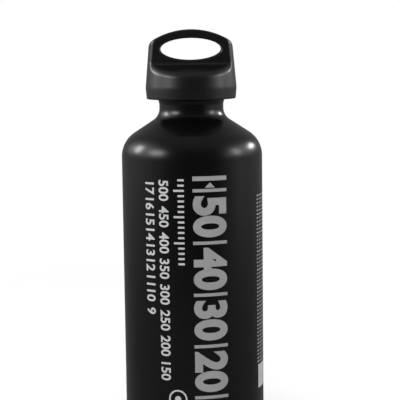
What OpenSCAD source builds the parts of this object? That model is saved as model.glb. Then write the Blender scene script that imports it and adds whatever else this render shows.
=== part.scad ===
// Camping fuel bottle: an aluminium bottle with an internal neck thread, closed by a
// push-and-turn cap with a carrying loop. The cap's shell spins freely on the threaded
// plug until it is pressed down against a small spring, so that its lugs drop between
// the plug's lugs and turn it.
// The axis is Z, the bottle stands on z = 0, and the loop's flat faces look along Y.

/* [Bottle] */
// Outer diameter of the body
body_d = 72; // [64:0.5:90]
// Height of the straight wall's top above the table
body_h = 145; // [90:1:220]
// Thickness of the body's and the shoulder's wall
wall = 0.9; // [0.7:0.1:1.2]
// Thickness of the bottom
base_t = 1.2; // [0.8:0.1:2]
// Radius of the edge between the wall and the bottom
base_edge_r = 5; // [3:0.5:8]
// Width of the flat ring that the bottle stands on
foot_w = 3.5; // [2:0.5:6]
// Height of the dish in the bottom
dish_h = 4.5; // [2:0.5:7]
// Radius of the convex curve from the body into the shoulder
shoulder_r = 14.5; // [10:0.5:18]
// Angle that the shoulder curves through before it runs straight
shoulder_angle = 57; // [45:1:65]
// Radius of the concave curve from the shoulder into the neck
neck_fillet_r = 7; // [5:0.5:9]

/* [Neck] */
// Outer diameter of the neck at its waist
neck_d = 32.7; // [32:0.1:34]
// Height of the neck's straight waist
neck_land = 1.6; // [0.5:0.1:6]
// Radius of the flare below the bead
flare_r = 5.5; // [4:0.5:7]
// Radius of the bead's round edge
bead_r = 1.9; // [1.5:0.1:2.2]
// Diameter of the smooth mouth above the thread
mouth_d = 28.8; // [28.4:0.1:29.4]
// Depth of the smooth mouth
mouth_h = 1.4; // [1:0.1:2]

/* [Thread] */
// Rise of the thread in one turn
pitch = 3; // [2.5:0.1:3.5]
// Diameter of the neck thread's root, the bore between its ridges
thread_root_d = 28; // [27:0.1:28.2]
// Height of each ridge, in the neck and on the plug
ridge_h = 1.4; // [1:0.1:1.8]
// Width of a ridge where it grows from the wall
ridge_base_w = 1.5; // [1.2:0.1:1.6]
// Width of a ridge at its crest
ridge_crest_w = 0.7; // [0.4:0.1:0.9]
// Radial gap between a crest and the opposite root
thread_gap = 0.4; // [0.2:0.05:0.6]
// Length of the neck thread along the axis
neck_thread_h = 9.5; // [7:0.5:11]
// Length of the plug's thread along the axis
plug_thread_h = 8.4; // [6:0.5:9]

/* [Plug and seal] */
// Length of the plug below the neck's lip
plug_depth = 11.5; // [10:0.5:12.5]
// Wall of the plug's hollow shank
shank_wall = 2.7; // [2:0.1:4]
// Width of each vent slot down the plug's thread
vent_w = 2.4; // [1.5:0.1:3.5]
// Depth of each vent slot, from the ridges' crest
vent_depth = 2.2; // [1.6:0.1:2.6]
// Thickness of the sealing ring
seal_t = 1.6; // [1:0.1:2.5]
// Outer diameter of the sealing ring
seal_d = 35; // [33:0.5:36]
// Radial gap of the plug's collar in the mouth
collar_gap = 0.5; // [0.3:0.05:0.8]
// Thickness of the plug's flange
flange_t = 1.8; // [1.5:0.1:2.5]
// Radial gap between the flange and the shell's inside
flange_gap = 0.5; // [0.3:0.05:0.8]

/* [Push-and-turn drive] */
// Number of lugs on the plug, and on the shell
lug_count = 12; // [8:4:16]
// Height of the lugs
lug_h = 1.55; // [1.2:0.05:2]
// Angle that each lug covers
lug_angle = 9; // [6:0.5:10]
// Radius of the lugs' inner faces
lug_in_r = 14; // [13:0.5:15]
// Radius of the lugs' outer faces
lug_out_r = 17.5; // [16.5:0.5:19]
// Gap above the plug's lugs while the shell isn't pressed
lug_clear = 0.5; // [0.3:0.05:0.8]
// Travel of the shell when it is pressed down
press_travel = 1.8; // [1.4:0.1:2]
// Thickness of the retaining ring that holds the flange in the shell
ring_t = 1; // [0.8:0.1:1.4]
// Overlap of the retaining ring under the flange
ring_lap = 0.7; // [0.4:0.05:0.9]
// Depth of the retaining ring's groove in the skirt
ring_seat = 0.6; // [0.4:0.05:0.8]
// Angle left open between the retaining ring's ends
ring_gap_angle = 14; // [8:1:30]
// Gap between faces that turn on each other
face_gap = 0.1; // [0.05:0.01:0.2]

/* [Spring] */
// Wire diameter
wire_d = 0.8; // [0.6:0.05:0.9]
// Diameter of a coil, measured to the middle of the wire
coil_d = 7.6; // [7:0.1:8.4]
// Number of coils
coils = 4.5; // [3.5:0.5:5]
// Gap between the spring and the spigot inside it
spigot_gap = 0.5; // [0.3:0.05:0.7]
// Gap between the spigot's end and the washer while the shell is pressed
spigot_clear = 1; // [0.5:0.1:1.5]
// Thickness of the thrust washer over the spring
washer_t = 0.8; // [0.6:0.1:1.2]
// Diameter of the spring's pocket in the shell
pocket_d = 10.4; // [9.6:0.1:12]
// Depth of the spring's pocket above the shell's ceiling
pocket_h = 4.6; // [4:0.1:5.2]
// Radial gap of the thrust washer in the pocket
washer_gap = 0.3; // [0.2:0.05:0.5]

/* [Shell and loop] */
// How far the skirt reaches below the neck's lip
skirt_drop = 4; // [3:0.5:5]
// Diameter of the skirt at its lower edge
skirt_edge_d = 45.4; // [45:0.1:47]
// Largest diameter of the skirt
skirt_d = 46.4; // [45.6:0.1:49]
// Height of the largest diameter above the skirt's lower edge
skirt_break_h = 5.65; // [4.5:0.05:8]
// Diameter of the shell level with the loop's corners
shell_top_d = 42.5; // [41:0.1:45]
// Wall of the skirt at its lower edge
skirt_wall = 1.8; // [1.4:0.1:2]
// Rounding of the skirt's lower edge
skirt_edge_r = 0.5; // [0.2:0.1:0.8]
// Height of the loop's top above the skirt's lower edge
loop_h = 35; // [32:0.5:45]
// Radius of the loop's arched top
loop_arch_r = 39.5; // [30:0.5:60]
// Radius of the loop's two upper corners
loop_corner_r = 2.5; // [1.5:0.1:4]
// Depth of the loop's corners below its top
corner_drop = 7; // [6:0.5:9]
// Thickness of the loop between its flat faces
loop_t = 17; // [13:0.5:19]
// Rounding of the loop's long edges
loop_edge_r = 1; // [0.5:0.1:2]
// Height of the shelf at the loop's flat face, above the skirt's lower edge
shelf_in_h = 17.4; // [16.5:0.1:18.5]
// Height of the shelf at the shell's rim, above the skirt's lower edge
shelf_out_h = 12.4; // [12.3:0.1:14]
// Radius of the shelf's hollow
shelf_r = 32; // [24:1:60]
// Width of the eyelet
eyelet_w = 32; // [24:0.5:33]
// Height of the eyelet
eyelet_h = 11.7; // [8:0.1:12]
// Height of the eyelet's middle above the skirt's lower edge
eyelet_z = 24.9; // [24:0.1:26]
// Rounding of the eyelet's rims
eyelet_edge_r = 1; // [0.5:0.1:1.5]

/* [Hidden] */
$fn = 96;

paint_black = [0.10, 0.10, 0.105];
nylon_black = [0.13, 0.13, 0.135];
nylon_grey = [0.30, 0.31, 0.32];
nitrile = [0.20, 0.20, 0.21];
steel = [0.72, 0.73, 0.75];
acetal = [0.90, 0.90, 0.87];

// Steps along arcs, threads and wire, in degrees and in counts
arc_step = 4;
helix_step = 12;
wire_sides = 8;
wire_rings = 12;
arch_n = 16;
corner_n = 6;
side_n = 3;
level_n = 5;
// A solid that grows from another starts this far inside it, and a cut starts this far outside
sink = 0.3;
cut = 1;
// Angle over which a thread fades in and out, and the part of it before the first section
lead_angle = 60;
lead_start = 2;
// Small step at the mouth's edge and beyond the threads' ends
lead_h = 0.1;
// Angle that the shelf's curve runs on past the shell's rim
scoop_over = 8;

body_r = body_d / 2;
neck_r = neck_d / 2;
mouth_r = mouth_d / 2;
root_r = thread_root_d / 2;
shank_r = root_r - ridge_h - thread_gap;
hollow_r = shank_r - shank_wall;
collar_r = mouth_r - collar_gap;

// Shoulder: a convex arc, a straight cone and a concave arc, each tangent to the next
sc = cos(shoulder_angle);
ss = sin(shoulder_angle);
cone_l = (body_r - neck_r - (shoulder_r + neck_fillet_r) * (1 - sc)) / ss;
neck_z = body_h + (shoulder_r + neck_fillet_r) * ss + cone_l * sc;

// Bead: the flare turns out by flare_angle, and the bead's round edge carries on from it
flare_angle = 45;
flare_z = neck_z + neck_land;
bead_cr = neck_r + flare_r - (flare_r + bead_r) * cos(flare_angle);
bead_cz = flare_z + (flare_r + bead_r) * sin(flare_angle);
lip_z = bead_cz + bead_r;

// Neck thread, measured down from the lip
bore_top_z = lip_z - mouth_h - (mouth_r - root_r);
neck_thread_top = bore_top_z - lead_h - ridge_base_w / 2;
neck_turns = (neck_thread_h - ridge_base_w) / pitch;
neck_thread_z = neck_thread_top - neck_turns * pitch;
// The bore ends where it meets the shoulder's inside, or below the lowest ridge
inside_r = shoulder_r - wall;
cone_in_r = body_r - shoulder_r + inside_r * sc;
bore_foot_z = body_h + inside_r * ss + (cone_in_r - root_r) * sc / ss;
neck_bore_z = min(bore_foot_z, neck_thread_z - ridge_base_w / 2 - lead_h);

// Closure stack, measured up from the lip
flange_z = lip_z + seal_t;
flange_top_z = flange_z + flange_t;
ceiling_z = flange_top_z + 2 * lug_h + lug_clear;
plug_z = lip_z - plug_depth;
plug_turns = (plug_thread_h - ridge_base_w) / pitch;
plug_thread_low = plug_z + ridge_base_w / 2 + lead_h;
// The plug's ridge lies half a pitch above a ridge of the neck, so that they are in mesh
mesh_steps = ceil((plug_thread_low - neck_thread_z - pitch / 2) / pitch);
plug_thread_z = neck_thread_z + pitch / 2 + mesh_steps * pitch;

// Shell
skirt_z = lip_z - skirt_drop;
skirt_in_r = skirt_edge_d / 2 - skirt_wall;
flange_r = skirt_in_r - flange_gap;
ring_in_r = flange_r - ring_lap;
ring_out_r = skirt_in_r + ring_seat;
ring_top_z = flange_z - face_gap;
pocket_z = ceiling_z + pocket_h;
washer_top_z = pocket_z - face_gap;
washer_z = washer_top_z - washer_t;
corner_h = loop_h - corner_drop;
loop_y = loop_t / 2;

// Points of a circular arc from angle a0 to a1
function arc(cx, cy, r, a0, a1, count = 0) =
    let (n = count > 0 ? count : max(2, ceil(abs(a1 - a0) / arc_step)))
    [for (i = [0:n]) let (a = a0 + (a1 - a0) * i / n) [cx + r * cos(a), cy + r * sin(a)]];

// Radius of the shell's outside at a height above the skirt's lower edge
function shell_r(h) = h < skirt_break_h
    ? skirt_edge_d / 2 + (skirt_d - skirt_edge_d) / 2 * h / skirt_break_h
    : skirt_d / 2 - (skirt_d - shell_top_d) / 2 * (h - skirt_break_h) / (corner_h - skirt_break_h);

// Half width of the shell at height h above the skirt's lower edge, at depth y off the axis
function shell_x(h, y) = sqrt(pow(shell_r(h), 2) - y * y);

// One closed skin from equal rings of points, with a flat end at each side
module skin(rings) {
    m = len(rings[0]);
    n = len(rings);
    sides = [for (i = [0:n - 2], k = [0:m - 1])
        let (a = i * m + k, b = i * m + (k + 1) % m)
        each [[a, b, b + m], [a, b + m, a + m]]];
    near = [for (k = [1:m - 2]) [0, k + 1, k]];
    far = [for (k = [1:m - 2]) [(n - 1) * m, (n - 1) * m + k, (n - 1) * m + k + 1]];
    polyhedron(points = [for (ring = rings) each ring], faces = concat(sides, near, far));
}

// A right-hand thread ridge. It grows from the wall at radius r by h, outwards if h is
// positive and inwards if it is negative, and fades in and out over lead_angle.
module ridge(r, h, z, turns) {
    n = round(turns * 360 / helix_step);
    dir = sign(h);
    skin([for (i = [0:n])
        let (
            a = i * turns * 360 / n,
            fade = min(1, (a + lead_start) / lead_angle, (turns * 360 - a + lead_start) / lead_angle),
            zc = z + pitch * a / 360,
            base_r = r - dir * sink,
            crest_r = r + h * fade,
            low = [[base_r, zc - ridge_base_w / 2], [crest_r, zc - ridge_crest_w / 2]],
            high = [[crest_r, zc + ridge_crest_w / 2], [base_r, zc + ridge_base_w / 2]],
            section = concat(low, high),
            turned = dir > 0 ? section : [for (k = [3:-1:0]) section[k]]
        )
        [for (p = turned) [p[0] * cos(a), p[0] * sin(a), p[1]]]]);
}

// A ring of lugs, sunk into the face that they grow from, the first one centred on turn
module lugs(z, turn) {
    for (i = [0:lug_count - 1])
        rotate([0, 0, turn + i * 360 / lug_count - lug_angle / 2])
            translate([0, 0, z])
                rotate_extrude(angle = lug_angle)
                    translate([lug_in_r, 0])
                        square([lug_out_r - lug_in_r, lug_h + sink]);
}

module bottle_outline() {
    foot_in_r = body_r - base_edge_r - foot_w;
    dish_r = (foot_in_r * foot_in_r + dish_h * dish_h) / (2 * dish_h);
    dish_angle = asin(foot_in_r / dish_r);
    edge_in_r = base_edge_r - wall;
    floor_r = dish_r + base_t;
    floor_angle = acos((base_t + dish_r - dish_h) / floor_r);
    polygon(concat(
        arc(0, dish_h - dish_r, dish_r, 90, 90 - dish_angle),
        arc(body_r - base_edge_r, base_edge_r, base_edge_r, -90, 0),
        arc(body_r - shoulder_r, body_h, shoulder_r, 0, shoulder_angle),
        arc(neck_r + neck_fillet_r, neck_z, neck_fillet_r, 180 + shoulder_angle, 180),
        arc(neck_r + flare_r, flare_z, flare_r, 180, 180 - flare_angle),
        arc(bead_cr, bead_cz, bead_r, -flare_angle, 90),
        [[mouth_r + lead_h, lip_z], [mouth_r, lip_z - lead_h], [mouth_r, lip_z - mouth_h]],
        [[root_r, bore_top_z], [root_r, neck_bore_z]],
        neck_bore_z < bore_foot_z ? [[root_r + (bore_foot_z - neck_bore_z) * ss / sc, neck_bore_z]] : [],
        arc(body_r - shoulder_r, body_h, inside_r, shoulder_angle, 0),
        arc(body_r - base_edge_r, base_t + edge_in_r, edge_in_r, 0, -90),
        arc(0, dish_h - dish_r, floor_r, 90 - floor_angle, 90)
    ));
}

module bottle_shell() {
    color(paint_black) {
        rotate_extrude() bottle_outline();
        ridge(root_r, -ridge_h, neck_thread_z, neck_turns);
    }
}

module threaded_plug() {
    color(nylon_grey) {
        difference() {
            union() {
                translate([0, 0, plug_z]) cylinder(r = shank_r, h = flange_z - plug_z);
                ridge(shank_r, ridge_h, plug_thread_z, plug_turns);
            }
            translate([0, 0, plug_z - cut]) cylinder(r = hollow_r, h = flange_z - plug_z + cut);
            for (side = [0, 180])
                rotate([0, 0, side])
                    translate([shank_r + ridge_h - vent_depth, -vent_w / 2, plug_z - cut])
                        cube([vent_depth + cut, vent_w, lip_z - mouth_h - plug_z + cut]);
        }
        translate([0, 0, lip_z - mouth_h / 2])
            difference() {
                cylinder(r = collar_r, h = seal_t + mouth_h / 2 + sink);
                translate([0, 0, -cut]) cylinder(r = hollow_r, h = seal_t + mouth_h / 2 + cut);
            }
        translate([0, 0, flange_z]) cylinder(r = flange_r, h = flange_t);
        translate([0, 0, flange_top_z - sink]) cylinder(r = spigot_r(), h = spigot_h() + sink);
        lugs(flange_top_z - sink, 0);
    }
}

// The spigot inside the spring stays clear of it and of the washer when the shell is pressed
function spigot_r() = coil_d / 2 * cos(180 / wire_rings) - wire_d / 2 - spigot_gap;
function spigot_h() = washer_z - flange_top_z - press_travel - spigot_clear;

module sealing_ring() {
    round_r = seal_t / 4;
    color(nitrile)
        translate([0, 0, lip_z])
            rotate_extrude()
                polygon(concat(
                    [[collar_r + face_gap, 0]],
                    arc(seal_d / 2 - round_r, round_r, round_r, -90, 0),
                    arc(seal_d / 2 - round_r, seal_t - round_r, round_r, 0, 90),
                    [[collar_r + face_gap, seal_t]]
                ));
}

function coil_point(a, r, z) = [r * cos(a), r * sin(a), z];

module press_spring() {
    low_z = flange_top_z + face_gap + wire_d / 2;
    rise = washer_z - face_gap - wire_d / 2 - low_z;
    n = round(coils * wire_rings);
    middle = [for (i = [0:n]) coil_point(i * 360 / wire_rings, coil_d / 2, low_z + rise * i / n)];
    gaps = [for (i = [0:n], k = [i + ceil(wire_rings / 2):1:n]) norm(middle[i] - middle[k]) - wire_d];
    echo(least_gap_between_coils = min(gaps));
    color(steel)
        skin([for (i = [0:n])
            let (a = i * 360 / wire_rings, z = low_z + rise * i / n)
            [for (k = [0:wire_sides - 1])
                let (t = 360 * k / wire_sides)
                coil_point(a, coil_d / 2 + wire_d / 2 * cos(t), z + wire_d / 2 * sin(t))]]);
}

module thrust_washer() {
    color(acetal)
        translate([0, 0, washer_z])
            difference() {
                cylinder(r = pocket_d / 2 - washer_gap, h = washer_t);
                translate([0, 0, -cut]) cylinder(r = spigot_r(), h = washer_t + 2 * cut);
            }
}

module retaining_ring() {
    color(steel)
        translate([0, 0, ring_top_z - ring_t])
            rotate([0, 0, ring_gap_angle / 2])
                rotate_extrude(angle = 360 - ring_gap_angle)
                    translate([ring_in_r, 0])
                        square([ring_out_r - ring_in_r, ring_t]);
}

// The shell's outside as a solid of revolution, up to the shelf's height at the loop
module shell_blank() {
    translate([0, 0, skirt_z])
        rotate_extrude()
            polygon(concat(
                [[0, 0]],
                arc(shell_r(skirt_edge_r) - skirt_edge_r, skirt_edge_r, skirt_edge_r, -90, 0),
                [[shell_r(skirt_break_h), skirt_break_h]],
                [[shell_r(shelf_in_h), shelf_in_h], [0, shelf_in_h]]
            ));
}

// Half of the loop's outline at depth y, drawn in by inset: down the arch, round the corner
// and down the side, which follows the shell's own round
function loop_side(y, inset) =
    let (
        top_c = loop_h - loop_arch_r,
        side_c = shell_x(corner_h, y) - loop_corner_r,
        corner_z = top_c + sqrt(pow(loop_arch_r - loop_corner_r, 2) - side_c * side_c),
        turn = asin(side_c / (loop_arch_r - loop_corner_r)),
        low_h = shelf_in_h - sink
    )
    concat(
        arc(0, top_c, loop_arch_r - inset, 90, 90 - turn, arch_n),
        [for (i = [1:corner_n]) let (a = (90 - turn) * (1 - i / corner_n))
            [side_c + (loop_corner_r - inset) * cos(a), corner_z + (loop_corner_r - inset) * sin(a)]],
        [for (i = [1:side_n]) let (h = corner_z + (low_h - corner_z) * i / side_n)
            [shell_x(h, y) - inset, h]]
    );

function loop_ring(y, inset) =
    let (half = loop_side(y, inset), n = len(half))
    [for (p = concat([for (p = half) [-p[0], p[1]]], [for (i = [n - 1:-1:1]) half[i]])) [p[0], y, p[1]]];

// Depths and insets of the loop's rings from the middle to the front, its long edges rounded
loop_flat_y = loop_y - loop_edge_r;
loop_levels = concat(
    [for (i = [0:level_n]) [loop_flat_y * i / level_n, 0]],
    [for (a = [18:18:90]) [loop_flat_y + loop_edge_r * sin(a), loop_edge_r * (1 - cos(a))]]
);

// The loop without its eyelet: a slab whose ends follow the shell's round
module loop_slab() {
    n = len(loop_levels);
    translate([0, 0, skirt_z])
        skin(concat(
            [for (i = [n - 1:-1:1]) loop_ring(-loop_levels[i][0], loop_levels[i][1])],
            [for (i = [0:n - 1]) loop_ring(loop_levels[i][0], loop_levels[i][1])]
        ));
}

// Space above the shelf and outside the loop's flat face, on the side where y is positive
module scoop() {
    rim_r = shell_r(shelf_out_h);
    span = [rim_r - loop_y, shelf_out_h - shelf_in_h];
    half_span = norm(span) / 2;
    up = sqrt(shelf_r * shelf_r - half_span * half_span) / (2 * half_span);
    cy = (rim_r + loop_y) / 2 - span[1] * up;
    cz = (shelf_out_h + shelf_in_h) / 2 + span[0] * up;
    a0 = atan2(shelf_in_h - cz, loop_y - cy);
    a1 = atan2(shelf_out_h - cz, rim_r - cy) + scoop_over;
    points = concat([[loop_y, loop_h + cut]], arc(cy, cz, shelf_r, a0, a1), [[skirt_d, loop_h + cut]]);
    translate([skirt_d, 0, skirt_z])
        rotate([90, 0, -90])
            linear_extrude(2 * skirt_d)
                polygon([for (p = points) [-p[0], p[1]]]);
}

// The eyelet's hole, flared at both flat faces by its rounded rims
module eyelet() {
    flare = [for (a = [0:22.5:90]) [loop_y - eyelet_edge_r * (1 - sin(a)), eyelet_edge_r * (1 - cos(a))]];
    half = concat(flare, [[loop_y + cut, eyelet_edge_r]]);
    n = len(half);
    levels = concat([for (i = [n - 1:-1:0]) [-half[i][0], half[i][1]]], half);
    translate([0, 0, skirt_z + eyelet_z])
        skin([for (level = levels)
            [for (a = [0:5:355])
                [(eyelet_w / 2 + level[1]) * cos(a), level[0], (eyelet_h / 2 + level[1]) * sin(a)]]]);
}

module shell_body() {
    difference() {
        shell_blank();
        scoop();
        mirror([0, 1, 0]) scoop();
    }
    difference() {
        loop_slab();
        eyelet();
    }
}

module outer_cap() {
    color(nylon_black) {
        difference() {
            shell_body();
            translate([0, 0, skirt_z - cut]) cylinder(r = skirt_in_r, h = ceiling_z - skirt_z + cut);
            translate([0, 0, ceiling_z - cut]) cylinder(d = pocket_d, h = pocket_h + cut);
            translate([0, 0, ring_top_z - ring_t]) cylinder(r = ring_out_r, h = ring_t);
        }
        lugs(ceiling_z - lug_h, 180 / lug_count);
    }
}

bottle_shell();
threaded_plug();
sealing_ring();
press_spring();
thrust_washer();
retaining_ring();
outer_cap();
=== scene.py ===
"""Camping fuel bottle: a black painted aluminium bottle with a moulded push-and-turn cap.

Lengths in this script are millimetres until mesh() turns them into metres. Azimuths are in
degrees round the bottle's axis: 0 is the front (-Y) and 90 is the right side (+X).
"""

import math

import bmesh
import bpy
import numpy as np
from mathutils import Matrix, Vector


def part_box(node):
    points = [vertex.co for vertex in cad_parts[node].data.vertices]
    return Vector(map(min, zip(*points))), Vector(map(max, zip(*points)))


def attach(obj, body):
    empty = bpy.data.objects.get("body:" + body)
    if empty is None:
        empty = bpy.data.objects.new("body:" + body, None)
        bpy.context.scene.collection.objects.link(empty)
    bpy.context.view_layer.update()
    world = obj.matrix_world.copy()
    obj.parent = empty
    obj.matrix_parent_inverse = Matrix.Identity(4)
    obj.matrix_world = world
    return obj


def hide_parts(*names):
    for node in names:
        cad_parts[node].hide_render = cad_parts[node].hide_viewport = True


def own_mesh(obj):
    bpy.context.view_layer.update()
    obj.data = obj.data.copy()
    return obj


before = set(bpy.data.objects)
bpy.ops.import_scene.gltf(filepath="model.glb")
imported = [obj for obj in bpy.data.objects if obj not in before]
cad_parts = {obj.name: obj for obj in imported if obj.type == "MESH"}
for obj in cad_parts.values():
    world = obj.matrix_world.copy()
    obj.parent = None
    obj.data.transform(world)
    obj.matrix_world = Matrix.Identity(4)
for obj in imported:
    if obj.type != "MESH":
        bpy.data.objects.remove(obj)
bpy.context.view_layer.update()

MM = 0.001


def node_box(node):
    """Lowest and highest corner of a CAD node, in millimetres."""
    low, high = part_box(node)
    return Vector(low) / MM, Vector(high) / MM


# ---------------------------------------------------------------- sizes, from the frame
BODY_R = node_box("bottle_shell")[1].x
LIP_Z = node_box("bottle_shell")[1].z
SKIRT_Z, TOP_Z = (corner.z for corner in node_box("outer_cap"))

WALL = 0.9
BASE_T = 1.2
BASE_EDGE_R = 5.0
FOOT_W = 3.5
DISH_H = 4.5
BODY_H = 145.0
SHOULDER_R = 14.5
SHOULDER_ANGLE = 57.0
NECK_FILLET_R = 7.0
NECK_R = 16.35
NECK_LAND = 1.6
FLARE_R = 5.5
FLARE_ANGLE = 45.0
BEAD_R = 1.9
# Where the paint ends on the bead, as an angle above the level
PAINT_END_ANGLE = 60
MOUTH_R = 14.4
MOUTH_H = 1.4
ROOT_R = 14.0
PITCH = 3.0
RIDGE_H = 1.4
RIDGE_BASE_W = 1.5
RIDGE_CREST_W = 0.7
NECK_THREAD_H = 9.5
# Gap between the mouth's chamfer and the thread
THREAD_TOP_GAP = 0.1
# Degrees along the thread: from section to section, over which the ridge fades out at its ends,
# and a head start, so that the very ends still have some height
THREAD_STEP = 4
FADE_ANGLE = 60
FADE_START = 2
# How deep a ridge starts inside its wall, and how its crest's corners are cut: in height, and
# outward and inward from the crest's edge
SINK = 0.3
CREST_CUT = 0.15
CREST_OUT, CREST_IN = 0.04, 0.12
# Rounding of the lip's inner edge
LIP_ROUND = 0.3

# Thickness of the print, and how far inside the CAD's radius its face lies
INK_T = 0.02
INK_R = BODY_R - INK_T
PAINT_R = INK_R - INK_T


# ---------------------------------------------------------------- camera
# Pitch down, yaw and roll in degrees, the way from the axis, and the height over the skirt's edge
CAMERA_TURN = (7.0231, 0.34881, 0.69886)
CAMERA_AWAY = 629.27
CAMERA_H = 25.3
FOCAL_LENGTH = 110.62
SENSOR_WIDTH = 36


def direction(azimuth, elevation):
    """Unit vector away from the bottle, from angles in degrees."""
    a, e = math.radians(azimuth), math.radians(elevation)
    return Vector((math.sin(a) * math.cos(e), -math.cos(a) * math.cos(e), math.sin(e)))


def add_camera():
    """The photograph's camera: a long lens level with the eyelet, turned a little down."""
    pitch, yaw, roll = (math.radians(v) for v in CAMERA_TURN)
    forward = Vector(
        (math.sin(yaw) * math.cos(pitch), math.cos(yaw) * math.cos(pitch), -math.sin(pitch))
    )
    level = Vector((math.cos(yaw), -math.sin(yaw), 0))
    down = forward.cross(level)
    right = math.cos(roll) * level + math.sin(roll) * down
    down = -math.sin(roll) * level + math.cos(roll) * down
    data = bpy.data.cameras.new("camera")
    data.lens = FOCAL_LENGTH
    data.sensor_width = SENSOR_WIDTH
    data.clip_start, data.clip_end = 0.01, 50
    camera = bpy.data.objects.new("camera", data)
    place = Vector((0, -CAMERA_AWAY, SKIRT_Z + CAMERA_H)) * MM
    turn = Matrix((right, -down, -forward)).transposed().to_4x4()
    camera.matrix_world = Matrix.Translation(place) @ turn
    bpy.context.collection.objects.link(camera)
    bpy.context.scene.camera = camera


add_camera()


# ---------------------------------------------------------------- materials
# The part of a noise's range that is in use
NOISE_LOW = 0.3
NOISE_HIGH = 0.7
# Octaves of the noises for the colour, the roughness and the bumps
COLOUR_DETAIL = 4
ROUGH_DETAIL = 3
BUMP_DETAIL = 2


class Nodes:
    """Short names for building a node tree."""

    def __init__(self, tree):
        self.tree = tree
        tree.nodes.clear()

    def new(self, kind, **values):
        node = self.tree.nodes.new(kind)
        for key, value in values.items():
            setattr(node, key, value)
        return node

    def link(self, source, target):
        self.tree.links.new(source, target)

    def math(self, operation, first, second):
        node = self.new("ShaderNodeMath", operation=operation)
        for socket, value in zip(node.inputs, (first, second)):
            if isinstance(value, (int, float)):
                socket.default_value = value
            else:
                self.link(value, socket)
        return node.outputs[0]

    def noise(self, scale, detail, stretch):
        """Noise in metres of the object, with features about 1 / scale metres wide."""
        place = self.new("ShaderNodeTexCoord")
        mapping = self.new("ShaderNodeMapping")
        mapping.inputs["Scale"].default_value = stretch
        texture = self.new("ShaderNodeTexNoise")
        texture.inputs["Scale"].default_value = scale
        texture.inputs["Detail"].default_value = detail
        self.link(place.outputs["Object"], mapping.inputs["Vector"])
        self.link(mapping.outputs["Vector"], texture.inputs["Vector"])
        return texture.outputs["Fac"]

    def spread(self, source, low, high):
        """Maps the middle of a noise to the range from low to high."""
        node = self.new("ShaderNodeMapRange")
        node.inputs["From Min"].default_value = NOISE_LOW
        node.inputs["From Max"].default_value = NOISE_HIGH
        node.inputs["To Min"].default_value = low
        node.inputs["To Max"].default_value = high
        self.link(source, node.inputs["Value"])
        return node.outputs["Result"]

    def ramp(self, source, low, high):
        """Rises smoothly from 0 to 1 as the source goes from low to high."""
        node = self.new("ShaderNodeMapRange", interpolation_type="SMOOTHSTEP")
        node.inputs["From Min"].default_value = low
        node.inputs["From Max"].default_value = high
        self.link(source, node.inputs["Value"])
        return node.outputs["Result"]

    def blend(self, factor, first, second):
        node = self.new("ShaderNodeMix", data_type="RGBA")
        node.inputs["A"].default_value = (*first, 1)
        node.inputs["B"].default_value = (*second, 1)
        self.link(factor, node.inputs["Factor"])
        return node.outputs["Result"]

    def bump(self, height, distance, strength, below):
        """Bumps in metres, on top of the normals of the bumps below where there are any."""
        node = self.new("ShaderNodeBump")
        node.inputs["Distance"].default_value = distance
        node.inputs["Strength"].default_value = strength
        self.link(height, node.inputs["Height"])
        if below:
            self.link(below, node.inputs["Normal"])
        return node.outputs["Normal"]


def surface(
    name, colours, colour_scale, roughness, rough_scale, bumps, stretch=(1, 1, 1), **sockets
):
    """A material whose colour and roughness vary between two values, with bumps.

    bumps holds (scale, distance in metres, strength), from the coarsest to the finest.
    """
    material = bpy.data.materials.new(name)
    material.use_nodes = True
    nodes = Nodes(material.node_tree)
    shader = nodes.new("ShaderNodeBsdfPrincipled")
    output = nodes.new("ShaderNodeOutputMaterial")
    nodes.link(shader.outputs["BSDF"], output.inputs["Surface"])
    mottle = nodes.spread(nodes.noise(colour_scale, COLOUR_DETAIL, stretch), 0, 1)
    nodes.link(nodes.blend(mottle, *colours), shader.inputs["Base Color"])
    gloss = nodes.spread(nodes.noise(rough_scale, ROUGH_DETAIL, stretch), *roughness)
    nodes.link(gloss, shader.inputs["Roughness"])
    normal = None
    for scale, distance, strength in bumps:
        height = nodes.noise(scale, BUMP_DETAIL, stretch)
        normal = nodes.bump(height, distance, strength, normal)
    nodes.link(normal, shader.inputs["Normal"])
    for socket, value in sockets.items():
        shader.inputs[socket.replace("_", " ")].default_value = value
    return material


paint = surface(
    "satin_black_paint",
    colours=((0.0014, 0.00145, 0.0016), (0.0020, 0.0021, 0.0023)),
    colour_scale=60,
    roughness=(0.235, 0.27),
    rough_scale=45,
    bumps=((420, 0.00003, 0.10), (2600, 0.000008, 0.08)),
)
bare_aluminium = surface(
    "lacquered_aluminium",
    colours=((0.62, 0.60, 0.55), (0.74, 0.72, 0.68)),
    colour_scale=150,
    roughness=(0.28, 0.38),
    rough_scale=300,
    bumps=((900, 0.00002, 0.15),),
    stretch=(1, 1, 14),
    Metallic=1.0,
)
nylon = surface(
    "black_glass_filled_nylon",
    colours=((0.0024, 0.0025, 0.0028), (0.0036, 0.0037, 0.0041)),
    colour_scale=180,
    roughness=(0.335, 0.395),
    rough_scale=500,
    bumps=((650, 0.00003, 0.10), (3800, 0.00001, 0.22)),
    Specular_IOR_Level=0.8,
)
plug_nylon = surface(
    "dark_grey_nylon",
    colours=((0.060, 0.062, 0.066), (0.078, 0.080, 0.084)),
    colour_scale=220,
    roughness=(0.38, 0.48),
    rough_scale=500,
    bumps=((3800, 0.00001, 0.2),),
)
seal_rubber = surface(
    "nitrile_rubber",
    colours=((0.018, 0.018, 0.019), (0.028, 0.028, 0.029)),
    colour_scale=400,
    roughness=(0.55, 0.7),
    rough_scale=700,
    bumps=((2500, 0.00002, 0.3),),
)
steel = surface(
    "stainless_steel",
    colours=((0.52, 0.52, 0.53), (0.62, 0.62, 0.62)),
    colour_scale=500,
    roughness=(0.18, 0.3),
    rough_scale=900,
    bumps=((2600, 0.000006, 0.2),),
    stretch=(1, 1, 8),
    Metallic=1.0,
)
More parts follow.
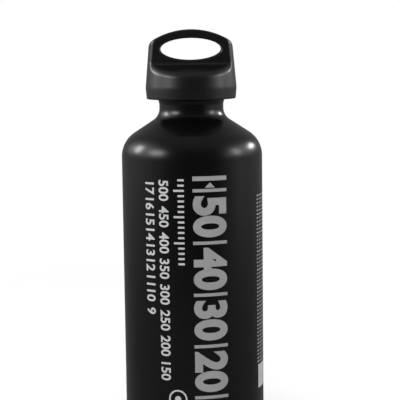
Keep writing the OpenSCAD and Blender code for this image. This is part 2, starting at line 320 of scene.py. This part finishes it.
acetal = surface(
    "white_acetal",
    colours=((0.72, 0.71, 0.66), (0.78, 0.77, 0.72)),
    colour_scale=300,
    roughness=(0.32, 0.42),
    rough_scale=600,
    bumps=((3000, 0.000008, 0.2),),
)
ink = surface(
    "silver_grey_ink",
    colours=((0.285, 0.287, 0.290), (0.325, 0.327, 0.330)),
    colour_scale=90,
    roughness=(0.36, 0.46),
    rough_scale=900,
    bumps=((5200, 0.000006, 0.3),),
)
white_ink = surface(
    "white_ink",
    colours=((0.50, 0.505, 0.52), (0.57, 0.575, 0.59)),
    colour_scale=90,
    roughness=(0.40, 0.50),
    rough_scale=900,
    bumps=((5200, 0.000006, 0.3),),
)


# ---------------------------------------------------------------- meshes
def mesh(name, points, faces, materials, body, sharp=35.0, face_materials=None):
    """Makes a smooth piece from points in millimetres, which rides on a body."""
    data = bpy.data.meshes.new(name)
    data.from_pydata((np.asarray(points, float) * MM).tolist(), [], faces)
    data.validate()
    for material in materials:
        data.materials.append(material)
    if face_materials is not None:
        data.polygons.foreach_set("material_index", face_materials)
    data.shade_smooth()
    if sharp:
        data.set_sharp_from_angle(angle=math.radians(sharp))
    piece = bpy.data.objects.new(name, data)
    bpy.context.collection.objects.link(piece)
    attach(piece, body)
    return piece


def arc(cx, cy, radius, start, end, step=2.5):
    """Points on an arc from one angle in degrees to another, both ends included."""
    count = max(2, math.ceil(abs(end - start) / step))
    angles = np.radians(np.linspace(start, end, count + 1))
    return [(cx + radius * math.cos(a), cy + radius * math.sin(a)) for a in angles]


def lathe(profile, steps=256):
    """Turns a closed profile of (radius, height) round Z. Points on the axis stay single.

    Gives the points, the faces, and for each face the profile's segment that it comes from.
    """
    points, rings = [], []
    for radius, height in profile:
        if radius < 1e-6:
            rings.append([len(points)] * steps)
            points.append((0, 0, height))
        else:
            rings.append(range(len(points), len(points) + steps))
            for k in range(steps):
                a = 2 * math.pi * k / steps
                points.append((radius * math.cos(a), radius * math.sin(a), height))
    faces, segments = [], []
    for i, low in enumerate(rings):
        high = rings[(i + 1) % len(rings)]
        for k in range(steps):
            following = (k + 1) % steps
            face = list(dict.fromkeys((low[k], low[following], high[following], high[k])))
            if len(face) > 2:
                faces.append(face)
                segments.append(i)
    return points, faces, segments


def tube_skin(rings):
    """Faces of a tube through equal rings of points, with flat ends."""
    sides = len(rings[0])
    points = [p for ring in rings for p in ring]
    faces = []
    for i in range(len(rings) - 1):
        for k in range(sides):
            a, b = i * sides + k, i * sides + (k + 1) % sides
            faces.append((a, b, b + sides, a + sides))
    faces.append(tuple(range(sides - 1, -1, -1)))
    faces.append(tuple(range(len(points) - sides, len(points))))
    return points, faces


# ---------------------------------------------------------------- bottle
def bottle_profile():
    """Painted outline from the dish to the lip, then the bare inside back to the axis."""
    turn = math.radians(SHOULDER_ANGLE)
    curves_r = SHOULDER_R + NECK_FILLET_R
    cone = (BODY_R - NECK_R - curves_r * (1 - math.cos(turn))) / math.sin(turn)
    neck_z = BODY_H + curves_r * math.sin(turn) + cone * math.cos(turn)
    flare_z = neck_z + NECK_LAND
    flare = math.radians(FLARE_ANGLE)
    bead_x = NECK_R + FLARE_R - (FLARE_R + BEAD_R) * math.cos(flare)
    bead_z = flare_z + (FLARE_R + BEAD_R) * math.sin(flare)
    foot_in_r = BODY_R - BASE_EDGE_R - FOOT_W
    dish_r = (foot_in_r**2 + DISH_H**2) / (2 * DISH_H)
    dish_angle = math.degrees(math.asin(foot_in_r / dish_r))
    floor_r = dish_r + BASE_T
    floor_angle = math.degrees(math.acos((BASE_T + dish_r - DISH_H) / floor_r))
    inside_r = SHOULDER_R - WALL
    cone_in_r = BODY_R - SHOULDER_R + inside_r * math.cos(turn)
    bore_foot_z = BODY_H + inside_r * math.sin(turn) + (cone_in_r - ROOT_R) / math.tan(turn)
    bore_top_z = LIP_Z - MOUTH_H - (MOUTH_R - ROOT_R)
    outside = (
        arc(0, DISH_H - dish_r, dish_r, 90, 90 - dish_angle)
        + arc(PAINT_R - BASE_EDGE_R, BASE_EDGE_R, BASE_EDGE_R, -90, 0)
        + arc(PAINT_R - SHOULDER_R, BODY_H, SHOULDER_R, 0, SHOULDER_ANGLE)
        + arc(NECK_R + NECK_FILLET_R, neck_z, NECK_FILLET_R, 180 + SHOULDER_ANGLE, 180)
        + arc(NECK_R + FLARE_R, flare_z, FLARE_R, 180, 180 - FLARE_ANGLE)
        + arc(bead_x, bead_z, BEAD_R, -FLARE_ANGLE, PAINT_END_ANGLE)
    )
    inside = (
        arc(bead_x, bead_z, BEAD_R, PAINT_END_ANGLE, 90)[1:]
        + arc(MOUTH_R + LIP_ROUND, LIP_Z - LIP_ROUND, LIP_ROUND, 90, 180, step=15)
        + [(MOUTH_R, LIP_Z - MOUTH_H), (ROOT_R, bore_top_z), (ROOT_R, bore_foot_z)]
        + arc(BODY_R - SHOULDER_R, BODY_H, inside_r, SHOULDER_ANGLE, 0)
        + arc(BODY_R - BASE_EDGE_R, BASE_EDGE_R + BASE_T - WALL, BASE_EDGE_R - WALL, 0, -90)
        + arc(0, DISH_H - dish_r, floor_r, 90 - floor_angle, 90)
    )
    return outside, inside, bore_top_z


def add_bottle():
    """The bottle with its painted outside and bare inside, and the ridge of its thread."""
    outside, inside, bore_top_z = bottle_profile()
    points, faces, segments = lathe(outside + inside)
    # The bare metal begins at the outside's last point, where the paint ends on the bead
    bare = [int(i >= len(outside) - 1) for i in segments]
    skin = mesh(
        "bottle_skin",
        points,
        faces,
        [paint, bare_aluminium],
        "bottle",
        face_materials=bare,
    )
    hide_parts("bottle_shell")

    top = bore_top_z - THREAD_TOP_GAP - RIDGE_BASE_W / 2
    turns = (NECK_THREAD_H - RIDGE_BASE_W) / PITCH
    flank, crest_edge = RIDGE_CREST_W / 2 + CREST_OUT, RIDGE_CREST_W / 2 - CREST_IN
    rings = []
    for a in np.arange(0, turns * 360 + 1, THREAD_STEP):
        fade = min(1, (a + FADE_START) / FADE_ANGLE, (turns * 360 - a + FADE_START) / FADE_ANGLE)
        z = top - turns * PITCH + PITCH * a / 360
        crest = ROOT_R - RIDGE_H * fade
        foot = (ROOT_R + SINK, RIDGE_BASE_W / 2)
        upper = [foot, (crest + CREST_CUT, flank), (crest, crest_edge)]
        ring = upper + [(r, -h) for r, h in reversed(upper)]
        c, s = math.cos(math.radians(a)), math.sin(math.radians(a))
        rings.append([(r * c, r * s, z + h) for r, h in ring])
    points, faces = tube_skin(rings)
    mesh("neck_thread", points, faces, [bare_aluminium], "bottle", sharp=50)


add_bottle()


# ---------------------------------------------------------------- cap
def soft_max(a, b, radius):
    """Distance to what two shapes share, with a round edge where they meet."""
    return np.minimum(-radius, np.maximum(a, b)) + np.hypot(
        np.maximum(radius + a, 0), np.maximum(radius + b, 0)
    )


def soft_min(a, b, radius):
    """Distance to two shapes together, with a fillet where they meet."""
    return -soft_max(-a, -b, radius)


# Outside of the cap. Heights are above the skirt's lower edge
SKIRT_EDGE_R = 22.7
SKIRT_R = 23.2
SKIRT_BREAK_H = 5.65
CORNER_R = 21.25
LOOP_H = TOP_Z - SKIRT_Z
CORNER_DROP = 7
CORNER_H = LOOP_H - CORNER_DROP
ARCH_R = 37.5
LOOP_Y = 8.5
SHELF_IN_H = 17.4
SHELF_OUT_H = 13.6
SHELF_R = 60.0
# Half width and half height of the eyelet, and the height of its middle
EYELET = (15.45, 5.5)
EYELET_H = 25.22
# Inside of the cap. Pairs hold the lower and the upper limit
SKIRT_IN_R = 20.9
CEILING_H = 11.0
LUG_H = 1.55
LUG_STEP = 30.0
LUG_HALF_ANGLE = 4.5
LUG_R = (14.0, 17.5)
POCKET_R = 5.2
POCKET_H = 15.6
GROOVE_R = 21.5
GROOVE_H = (4.5, 5.5)
# Roundings of the cap's edges and fillets
BREAK_ROUND = 0.15
SHELF_FILLET = 1.3
ARCH_ROUND = 1.6
SKIRT_EDGE_ROUND = 0.7
EYELET_ROUND = 1.0
CEILING_FILLET = 0.4
MOUTH_ROUND = 0.3
LUG_ROUND = 0.15
POCKET_FILLET = 0.3
POCKET_ROUND = 0.2
# Rounding of the loop's and the shelf's edge, by the depth from the loop's middle
RIM_EDGE = ((8.5, 10.5, 14.5), (1.1, 2.6, 2.9))


def band(value, limits):
    """Distance to the band between two limits, negative inside."""
    return np.abs(value - sum(limits) / 2) - (limits[1] - limits[0]) / 2


def shelf_centre():
    """Middle of the circle that hollows the shelf, as a depth and a height."""
    slope = (SKIRT_R - CORNER_R) / (CORNER_H - SKIRT_BREAK_H)
    rim = SKIRT_R - slope * (SHELF_OUT_H - SKIRT_BREAK_H)
    across, rise = rim - LOOP_Y, SHELF_OUT_H - SHELF_IN_H
    half = math.hypot(across, rise) / 2
    away = math.sqrt(SHELF_R**2 - half**2) / (2 * half)
    return (rim + LOOP_Y) / 2 - rise * away, (SHELF_OUT_H + SHELF_IN_H) / 2 + across * away


def cap_distance(x, y, h):
    """Signed distance to the cap's shell, negative inside, with h above the skirt's edge."""
    r = np.hypot(x, y)
    low_slope = (SKIRT_R - SKIRT_EDGE_R) / SKIRT_BREAK_H
    high_slope = (SKIRT_R - CORNER_R) / (CORNER_H - SKIRT_BREAK_H)
    low = (r - SKIRT_EDGE_R - low_slope * h) / math.hypot(1, low_slope)
    high = (r - SKIRT_R + high_slope * (h - SKIRT_BREAK_H)) / math.hypot(1, high_slope)
    side = soft_max(low, high, BREAK_ROUND)

    shelf_y, shelf_h = shelf_centre()
    shelf = SHELF_R - np.hypot(np.abs(y) - shelf_y, h - shelf_h)
    stepped = soft_min(np.abs(y) - LOOP_Y, shelf, SHELF_FILLET)
    arch = np.hypot(x, h - LOOP_H + ARCH_R) - ARCH_R
    edge = np.interp(np.abs(y), *RIM_EDGE)
    shell = soft_max(soft_max(side, arch, ARCH_ROUND), stepped, edge)
    shell = soft_max(shell, -h, SKIRT_EDGE_ROUND)

    ex, eh = x / EYELET[0], (h - EYELET_H) / EYELET[1]
    reach = np.hypot(ex, eh)
    eyelet = reach * (reach - 1) / np.maximum(np.hypot(ex / EYELET[0], eh / EYELET[1]), 1e-9)
    shell = soft_max(shell, -eyelet, EYELET_ROUND)

    cavity = soft_max(r - SKIRT_IN_R, h - CEILING_H, CEILING_FILLET)
    shell = soft_max(shell, -cavity, MOUTH_ROUND)
    turn = np.degrees(np.arctan2(y, x)) / LUG_STEP
    off = LUG_STEP * np.abs(turn - np.floor(turn) - 0.5)
    lug = np.radians(off - LUG_HALF_ANGLE) * r
    lug = soft_max(lug, band(r, LUG_R), LUG_ROUND)
    lug = soft_max(lug, np.abs(h - CEILING_H) - LUG_H, LUG_ROUND)
    shell = soft_min(shell, lug, LUG_ROUND)
    pocket = soft_max(r - POCKET_R, h - POCKET_H, POCKET_FILLET)
    shell = soft_max(shell, -pocket, POCKET_ROUND)
    groove = np.maximum(r - GROOVE_R, band(h, GROOVE_H))
    return np.maximum(shell, -groove)


def surface_net(distance, low, high, step):
    """Quads along the zero of a distance, one vertex in each cell that the zero crosses."""
    axes = [np.arange(a, b + step, step) for a, b in zip(low, high)]
    field = distance(axes[0][:, None, None], axes[1][None, :, None], axes[2][None, None, :])
    inside = field < 0
    # Cells that have corners on both sides
    count = sum(
        inside[i : i - 1 or None, j : j - 1 or None, k : k - 1 or None].astype(np.int8)
        for i in (0, 1)
        for j in (0, 1)
        for k in (0, 1)
    )
    cells = np.argwhere((count > 0) & (count < 8))
    index = np.full(count.shape, -1)
    index[tuple(cells.T)] = np.arange(len(cells))

    # Each vertex is the mean of the places where the cell's edges cross the zero
    total, hits = np.zeros((len(cells), 3)), np.zeros(len(cells))
    for axis in range(3):
        others = [a for a in range(3) if a != axis]
        for shift in ((0, 0), (0, 1), (1, 0), (1, 1)):
            start = cells.copy()
            start[:, others] += shift
            end = start.copy()
            end[:, axis] += 1
            first, second = field[tuple(start.T)], field[tuple(end.T)]
            crossed = (first < 0) != (second < 0)
            place = start.astype(float)
            place[:, axis] += np.where(crossed, first / np.where(crossed, first - second, 1), 0)
            total[crossed] += place[crossed]
            hits[crossed] += 1
    points = np.array(low) + step * total / hits[:, None]

    # A quad for each edge of the grid that crosses the zero, between the four cells round it
    quads = []
    for axis in range(3):
        b, c = (axis + 1) % 3, (axis + 2) % 3
        first = np.take(inside, range(inside.shape[axis] - 1), axis)
        second = np.take(inside, range(1, inside.shape[axis]), axis)
        edges = np.argwhere(first != second)
        corner = []
        for shift_b, shift_c in ((-1, -1), (0, -1), (0, 0), (-1, 0)):
            cell = edges.copy()
            cell[:, b] += shift_b
            cell[:, c] += shift_c
            corner.append(index[tuple(cell.T)])
        quad = np.stack(corner, 1)
        outward = first[tuple(edges.T)]
        quads.append(np.where(outward[:, None], quad, quad[:, ::-1]))
    return points, np.concatenate(quads)


def settle(distance, points, passes=4, reach=0.01):
    """Moves points onto the zero of a distance, and gives the surface's normals there."""
    for _ in range(passes):
        slope = np.stack(
            [
                distance(*(points + reach * side).T) - distance(*(points - reach * side).T)
                for side in np.eye(3)
            ],
            1,
        ) / (2 * reach)
        size = np.maximum((slope**2).sum(1), 1e-6)
        points = points - slope * (distance(*points.T) / size)[:, None]
    return points, slope / np.sqrt(size)[:, None]


def add_cap():
    """The cap's shell as a fine net of quads that lies exactly in its rounded surface."""
    step = 0.36
    reach = SKIRT_R + 2
    # The grid starts at odd places, so that no layer of it lies in a flat face
    low, high = (-reach + 0.037, -reach + 0.041, -1.017), (reach, reach, LOOP_H + 1)
    points, quads = surface_net(cap_distance, low, high, step)
    points, normals = settle(cap_distance, points)
    points[:, 2] += SKIRT_Z
    cap = mesh("cap_shell", points, quads.tolist(), [nylon], "cap", sharp=None)
    cap.data.normals_split_custom_set_from_vertices(normals.tolist())
    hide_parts("outer_cap")


add_cap()


# ---------------------------------------------------------------- closure's inner pieces
def add_spring():
    """The press spring as a smooth coil between the ends of the CAD node's box; the real spring
    is squashed as the cap is pressed down.
    """
    low, high = node_box("press_spring")
    wire_r, coil_r, coils = 0.4, 3.8, 4.5
    sides, per_turn = 12, 36
    count = round(coils * per_turn)
    rings = []
    for i in range(count + 1):
        a = 2 * math.pi * i / per_turn
        z = low.z + wire_r + (high.z - low.z - 2 * wire_r) * i / count
        ring = []
        for k in range(sides):
            t = 2 * math.pi * k / sides
            r = coil_r + wire_r * math.cos(t)
            ring.append((r * math.cos(a), r * math.sin(a), z + wire_r * math.sin(t)))
        rings.append(ring)
    points, faces = tube_skin(rings)
    spring = mesh("press_coil", points, faces, [steel], "plug")
    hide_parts("press_spring")
    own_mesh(spring)


def dress(node, material, sharp=30.0):
    """Gives a CAD node its material and smooth curved faces."""
    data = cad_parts[node].data
    data.materials.clear()
    data.materials.append(material)
    data.shade_smooth()
    data.set_sharp_from_angle(angle=math.radians(sharp))


add_spring()
dress("threaded_plug", plug_nylon)
dress("sealing_ring", seal_rubber)
dress("thrust_washer", acetal)
dress("retaining_ring", steel)


# ---------------------------------------------------------------- print on the bottle
class Sheet:
    """Flat artwork, with arc length round the bottle across and height up, in millimetres."""

    def __init__(self):
        self.bm = bmesh.new()

    def bar(self, left, right, low, high):
        corners = ((left, low), (right, low), (right, high), (left, high))
        self.bm.faces.new([self.bm.verts.new((u, v, 0)) for u, v in corners])

    def pointer(self, u, v, width, height):
        """A triangle that points up."""
        corners = ((u - width / 2, v), (u + width / 2, v), (u, v + height))
        self.bm.faces.new([self.bm.verts.new((*corner, 0)) for corner in corners])

    def ring(self, u, v, inner, outer, count=48):
        angles = [2 * math.pi * i / count for i in range(count)]
        rims = [
            [self.bm.verts.new((u + r * math.cos(a), v + r * math.sin(a), 0)) for a in angles]
            for r in (inner, outer)
        ]
        for i in range(count):
            j = (i + 1) % count
            self.bm.faces.new((rims[0][i], rims[1][i], rims[1][j], rims[0][j]))

    def disc(self, u, v, radius, count=32):
        angles = [2 * math.pi * i / count for i in range(count)]
        rim = [(u + radius * math.cos(a), v + radius * math.sin(a), 0) for a in angles]
        self.bm.faces.new([self.bm.verts.new(corner) for corner in rim])

    def number(self, value, left, height, middle, weight, width=1.0):
        """A number turned to read downwards, with the digits' feet at left.

        Weight thickens the digits' strokes, and width stretches the number along its line.
        """
        curve = bpy.data.curves.new("digits", "FONT")
        curve.body = str(value)
        curve.align_x = "CENTER"
        curve.offset = weight
        curve.resolution_u = 6
        holder = bpy.data.objects.new("digits", curve)
        flat = bpy.data.meshes.new_from_object(holder)
        feet = min(v.co.y for v in flat.vertices)
        tall = max(v.co.y for v in flat.vertices) - feet
        scale = height / tall
        ends = [v.co.x for v in flat.vertices]
        centre = (max(ends) + min(ends)) / 2
        for v in flat.vertices:
            v.co = (left + (v.co.y - feet) * scale, middle - (v.co.x - centre) * scale * width, 0)
        self.bm.from_mesh(flat)
        bpy.data.objects.remove(holder)
        bpy.data.curves.remove(curve)
        bpy.data.meshes.remove(flat)

    def wrap(self, name, material, step=1.0):
        """Cuts the artwork into narrow strips and lays it round the bottle as thin ink."""
        bm = self.bm
        bmesh.ops.remove_doubles(bm, verts=bm.verts, dist=0.005)
        low = min(v.co.x for v in bm.verts)
        high = max(v.co.x for v in bm.verts)
        for i in range(math.ceil(low / step), math.floor(high / step) + 1):
            geometry = bm.verts[:] + bm.edges[:] + bm.faces[:]
            bmesh.ops.bisect_plane(
                bm, geom=geometry, plane_co=(i * step, 0, 0), plane_no=(1, 0, 0)
            )
        bmesh.ops.recalc_face_normals(bm, faces=bm.faces)
        for face in bm.faces:
            if face.normal.z < 0:
                face.normal_flip()
        outer, inner, points = {}, {}, []
        for v in bm.verts:
            a = v.co.x / BODY_R
            for store, radius in ((outer, INK_R), (inner, PAINT_R - INK_T)):
                store[v] = len(points)
                points.append((radius * math.sin(a), -radius * math.cos(a), v.co.y))
        faces = []
        for face in bm.faces:
            faces.append([outer[v] for v in face.verts])
            faces.append([inner[v] for v in reversed(face.verts)])
            for loop in face.loops:
                if loop.edge.is_boundary:
                    a, b = loop.vert, loop.link_loop_next.vert
                    faces.append([outer[b], outer[a], inner[a], inner[b]])
        bm.free()
        mesh(name, points, faces, [material], "bottle", sharp=30)


def arc_length(azimuth):
    return math.radians(azimuth) * BODY_R


# Marks of the bold scale in centilitres, of the small ones in millilitres and in fluid ounces,
# and of the small ticks in centilitres
BOLD_MARKS = range(10, 60, 10)
ML_MARKS = range(150, 550, 50)
OUNCE_MARKS = range(9, 18)
TICK_MARKS = range(36, 53)
LONG_TICK_EVERY = 5
# Height that a litre takes, of the level of half a litre, and of the bold scale's top
LITRE_H = 258.5
LEVEL_500 = 130.9
PRINT_TOP = SKIRT_Z - 36.3
OUNCE_ML = 29.57
# Bold scale: its right edge's azimuth, its lines and numbers, and the mark for full
BOLD_AZIMUTH = 27.5
LINE_HALF = 0.8
NUMBER_DROP = 12.9
NUMBER_WEIGHT, NUMBER_WIDTH = 0.045, 0.925
TOP_BAR_H = 2.2
POINTER_DROP, POINTER_W, POINTER_H = 5.6, 5.2, 2.6
# Small scales: limits of the columns by azimuth, the digits' weight, half a tick's thickness,
# a short tick's share of a long one, and the ring with a dot
ML_AZIMUTHS = (-27.5, -19.2)
OUNCE_AZIMUTHS = (-40.2, -31.7)
TICK_AZIMUTHS = (-15.1, -6.7)
SMALL_WEIGHT = 0.022
TICK_HALF = 0.5
SHORT_TICK = 0.6
RING_AZIMUTH = -13.6
RING_Z = SKIRT_Z - 147.5
RING_IN_R, RING_OUT_R, DOT_R = 3.9, 4.7, 1.6
# Graduations on the right side: columns of ticks over a blank field
FINE_AZIMUTH = 63.5
FINE_TOP = SKIRT_Z - 48.4
FINE_COLUMNS, FINE_COLUMN_W = 12, 3.0
FINE_TICKS, FINE_TICK_STEP, FINE_TICK_HALF = 46, 1.9, 0.42
FINE_LONG, FINE_SHORT = 2.4, 1.7
FIELD_AZIMUTHS = (65, 95)
FIELD_Z = (SKIRT_Z - 147.8, SKIRT_Z - 135.6)


def level(millilitres):
    """Height of a filling level above the table."""
    return LEVEL_500 - (500 - millilitres) / 1000 * LITRE_H


def add_print():
    """The generic fill scales on the front and the graduations on the right side."""
    # A line at each ten centilitres with its number below
    bold = Sheet()
    left, right = 0.0, arc_length(BOLD_AZIMUTH)
    for centilitres in BOLD_MARKS:
        z = level(centilitres * 10)
        bold.bar(left, right, z - LINE_HALF, z + LINE_HALF)
        bold.number(
            centilitres, left, right - left, z - NUMBER_DROP, NUMBER_WEIGHT, NUMBER_WIDTH
        )
    bold.bar(left, right, PRINT_TOP - TOP_BAR_H, PRINT_TOP)
    bold.pointer((left + right) / 2, PRINT_TOP - POINTER_DROP, POINTER_W, POINTER_H)
    bold.wrap("print_fill_scale", ink)

    # Millilitres, fluid ounces and a tick at each centilitre
    small = Sheet()
    for azimuths, amounts, unit in (
        (ML_AZIMUTHS, ML_MARKS, 1),
        (OUNCE_AZIMUTHS, OUNCE_MARKS, OUNCE_ML),
    ):
        left, right = map(arc_length, azimuths)
        for amount in amounts:
            small.number(amount, left, right - left, level(amount * unit), SMALL_WEIGHT)
    left, right = map(arc_length, TICK_AZIMUTHS)
    for centilitres in TICK_MARKS:
        long = centilitres % LONG_TICK_EVERY == 0
        reach = (right - left) * (1 if long else SHORT_TICK)
        z = level(centilitres * 10)
        small.bar(right - reach, right, z - TICK_HALF, z + TICK_HALF)
    small.ring(arc_length(RING_AZIMUTH), RING_Z, RING_IN_R, RING_OUT_R)
    small.disc(arc_length(RING_AZIMUTH), RING_Z, DOT_R)
    small.wrap("print_small_scales", white_ink)

    fine = Sheet()
    for column in range(FINE_COLUMNS):
        left = arc_length(FINE_AZIMUTH) + column * FINE_COLUMN_W
        for tick in range(FINE_TICKS):
            z = FINE_TOP - tick * FINE_TICK_STEP
            reach = FINE_LONG if tick % LONG_TICK_EVERY == 0 else FINE_SHORT
            fine.bar(left, left + reach, z - FINE_TICK_HALF, z + FINE_TICK_HALF)
    fine.wrap("print_side_graduations", ink)

    field = Sheet()
    field.bar(*map(arc_length, FIELD_AZIMUTHS), *FIELD_Z)
    field.wrap("print_blank_field", white_ink)


add_print()


# ---------------------------------------------------------------- floor, surroundings and light
# Brightness of the studio's walls by azimuth
WALLS = (
    (-180, 0.20),
    (-150, 0.20),
    (-92, 0.41),
    (-35, 0.08),
    (0, 0.045),
    (42, 0.06),
    (60, 0.25),
    (82, 0.49),
    (105, 0.34),
    (135, 0.22),
    (180, 0.20),
)
# Large softboxes at both sides and a dim ceiling, by the X and the Z of the ray's direction
SOFTBOX_X = ((0.74, 0.93), (-0.58, -0.84))
SOFTBOX_Z = (0.02, 0.28)
SOFTBOX_GLOW = 1.5
CEILING_Z = (0.5, 0.9)
CEILING_GLOW = 0.2
FILL_GLOW = 0.45

# The floor: its radius in metres, and its shade for scattered light
FLOOR_R = 2.5
FLOOR_SHADE = 0.8
# Its look to the camera: a pale floor that takes shadows, turning white over these distances
FLOOR_PALE = 0.75
FLOOR_NEAR_GLOW = 0.38
FLOOR_WHITE_FROM = (0.1, 0.6)
# What the bottle mirrors: the floor's glow, dim nearby as a painted shade, and the walls' glow
# farther out and in front
FLOOR_PAINTED_SHADE = 0.17
FLOOR_GLOW_FROM = (0.3, 1.4)
FLOOR_FRONT_Y = (-0.2, -0.7)

# Height that the lamps point at, and their distance in metres
LAMP_TARGET_Z = 150
LAMP_AWAY = 0.9
WHITE = (1.0, 1.0, 1.0, 1.0)


def grey(value):
    return (value, value, value, 1)


def glow(nodes, split):
    """Brightness of the studio's walls by azimuth: dark in front, bright at both sides."""
    # The share is 0.5 in front of the bottle, and 0 and 1 behind it
    back = nodes.math("MULTIPLY", split.outputs["Y"], -1.0)
    angle = nodes.math("ARCTAN2", split.outputs["X"], back)
    share = nodes.math("ADD", nodes.math("MULTIPLY", angle, 0.5 / math.pi), 0.5)
    ramp = nodes.new("ShaderNodeValToRGB")
    ramp.color_ramp.interpolation = "EASE"
    elements = ramp.color_ramp.elements
    while len(elements) < len(WALLS):
        elements.new(0.5)
    for element, (azimuth, value) in zip(elements, WALLS):
        element.position = azimuth / 360 + 0.5
        element.color = grey(value)
    nodes.link(share, ramp.inputs["Fac"])
    return ramp.outputs["Color"]


def fade(nodes, factor, first, second):
    """Mixes a value into a value or a colour."""
    node = nodes.new("ShaderNodeMix", data_type="RGBA")
    for name, value in (("A", first), ("B", second)):
        if isinstance(value, (int, float)):
            node.inputs[name].default_value = grey(value)
        else:
            nodes.link(value, node.inputs[name])
    nodes.link(factor, node.inputs["Factor"])
    return node.outputs["Result"]


def by_ray(nodes, paths, cases, default):
    """Nested mix shaders: the first case whose kind of ray is seen wins."""
    result = default
    for kind, shader in reversed(cases):
        mix = nodes.new("ShaderNodeMixShader")
        nodes.link(paths.outputs[kind], mix.inputs[0])
        nodes.link(result, mix.inputs[1])
        nodes.link(shader, mix.inputs[2])
        result = mix.outputs[0]
    return result


def emission(nodes, kind, colour, strength):
    shader = nodes.new(kind)
    shader.inputs["Strength"].default_value = strength
    if isinstance(colour, tuple):
        shader.inputs["Color"].default_value = colour
    else:
        nodes.link(colour, shader.inputs["Color"])
    return shader.outputs[0]


def add_world():
    """Plain white to the camera, a studio's walls in reflections, and an even fill light."""
    world = bpy.data.worlds.new("studio")
    bpy.context.scene.world = world
    world.use_nodes = True
    nodes = Nodes(world.node_tree)
    output = nodes.new("ShaderNodeOutputWorld")
    paths = nodes.new("ShaderNodeLightPath")
    place = nodes.new("ShaderNodeTexCoord")
    split = nodes.new("ShaderNodeSeparateXYZ")
    nodes.link(place.outputs["Generated"], split.inputs[0])
    seen = emission(nodes, "ShaderNodeBackground", WHITE, 1.0)
    right, left = (nodes.ramp(split.outputs["X"], *limits) for limits in SOFTBOX_X)
    sides = nodes.math("ADD", right, left)
    raised = nodes.math("MULTIPLY", sides, nodes.ramp(split.outputs["Z"], *SOFTBOX_Z))
    room = fade(nodes, raised, glow(nodes, split), SOFTBOX_GLOW)
    room = fade(nodes, nodes.ramp(split.outputs["Z"], *CEILING_Z), room, CEILING_GLOW)
    walls = emission(nodes, "ShaderNodeBackground", room, 1.0)
    fill = emission(nodes, "ShaderNodeBackground", WHITE, FILL_GLOW)
    cases = [("Is Camera Ray", seen), ("Is Glossy Ray", walls), ("Is Transmission Ray", seen)]
    nodes.link(by_ray(nodes, paths, cases, fill), output.inputs["Surface"])


def add_floor():
    """The floor that the camera sees, a glowing one in reflections with painted shade near the
    bottle, and a matt one for the rest.
    """
    data = bpy.data.meshes.new("floor")
    bm = bmesh.new()
    bmesh.ops.create_circle(bm, cap_ends=True, segments=96, radius=FLOOR_R)
    bm.to_mesh(data)
    bm.free()
    material = bpy.data.materials.new("pale_floor")
    material.use_nodes = True
    nodes = Nodes(material.node_tree)
    output = nodes.new("ShaderNodeOutputMaterial")
    paths = nodes.new("ShaderNodeLightPath")
    place = nodes.new("ShaderNodeTexCoord")
    matt, shaded = (nodes.new("ShaderNodeBsdfDiffuse") for _ in range(2))
    matt.inputs["Color"].default_value = grey(FLOOR_SHADE)
    shaded.inputs["Color"].default_value = grey(FLOOR_PALE)
    near = nodes.new("ShaderNodeAddShader")
    nodes.link(shaded.outputs[0], near.inputs[0])
    nodes.link(emission(nodes, "ShaderNodeEmission", WHITE, FLOOR_NEAR_GLOW), near.inputs[1])
    split = nodes.new("ShaderNodeSeparateXYZ")
    nodes.link(place.outputs["Object"], split.inputs[0])
    far = nodes.new("ShaderNodeVectorMath", operation="LENGTH")
    nodes.link(place.outputs["Object"], far.inputs[0])
    # Look to the camera
    lit = nodes.new("ShaderNodeMixShader")
    nodes.link(nodes.ramp(far.outputs["Value"], *FLOOR_WHITE_FROM), lit.inputs[0])
    nodes.link(near.outputs[0], lit.inputs[1])
    nodes.link(emission(nodes, "ShaderNodeEmission", WHITE, 1.0), lit.inputs[2])
    # Look in reflections: a glow, dim near the bottle as a painted shade, turning to the walls'
    # glow farther out and in front
    distance = nodes.ramp(far.outputs["Value"], *FLOOR_GLOW_FROM)
    # Painted shade: the floor glows dimly near the bottle in reflections
    room = fade(nodes, distance, FLOOR_PAINTED_SHADE, glow(nodes, split))
    front = nodes.ramp(split.outputs["Y"], *FLOOR_FRONT_Y)
    room = fade(nodes, front, room, glow(nodes, split))
    walls = emission(nodes, "ShaderNodeEmission", room, 1.0)
    cases = [("Is Camera Ray", lit.outputs[0]), ("Is Glossy Ray", walls)]
    nodes.link(by_ray(nodes, paths, cases, matt.outputs[0]), output.inputs["Surface"])
    data.materials.append(material)
    floor = bpy.data.objects.new("floor", data)
    bpy.context.collection.objects.link(floor)


def add_lamp(name, azimuth, elevation, power, width, height, glossy=True):
    """An oval lamp that faces the bottle. Its sides are in metres and its power in watts."""
    data = bpy.data.lights.new(name, "AREA")
    data.shape = "ELLIPSE"
    data.size, data.size_y = width, height
    data.energy = power
    lamp = bpy.data.objects.new(name, data)
    target = Vector((0, 0, LAMP_TARGET_Z * MM))
    toward = direction(azimuth, elevation)
    lamp.location = target + LAMP_AWAY * toward
    lamp.rotation_mode = "QUATERNION"
    lamp.rotation_quaternion = toward.to_track_quat("Z", "Y")
    lamp.visible_glossy = glossy
    lamp.visible_camera = False
    bpy.context.collection.objects.link(lamp)


add_world()
add_floor()
add_lamp("left_rear_lamp", -104, 22, 1.8, 0.24, 0.30)
add_lamp("left_side_lamp", -62, 23, 1.5, 0.42, 0.30)
add_lamp("right_rear_lamp", 123, 18, 1.75, 0.26, 0.13)
add_lamp("right_side_lamp", 80, 20, 0.85, 0.22, 0.32)
add_lamp("front_fill", 0, 40, 3.0, 0.6, 0.6, glossy=False)

bpy.context.scene.view_settings.view_transform = "Standard"
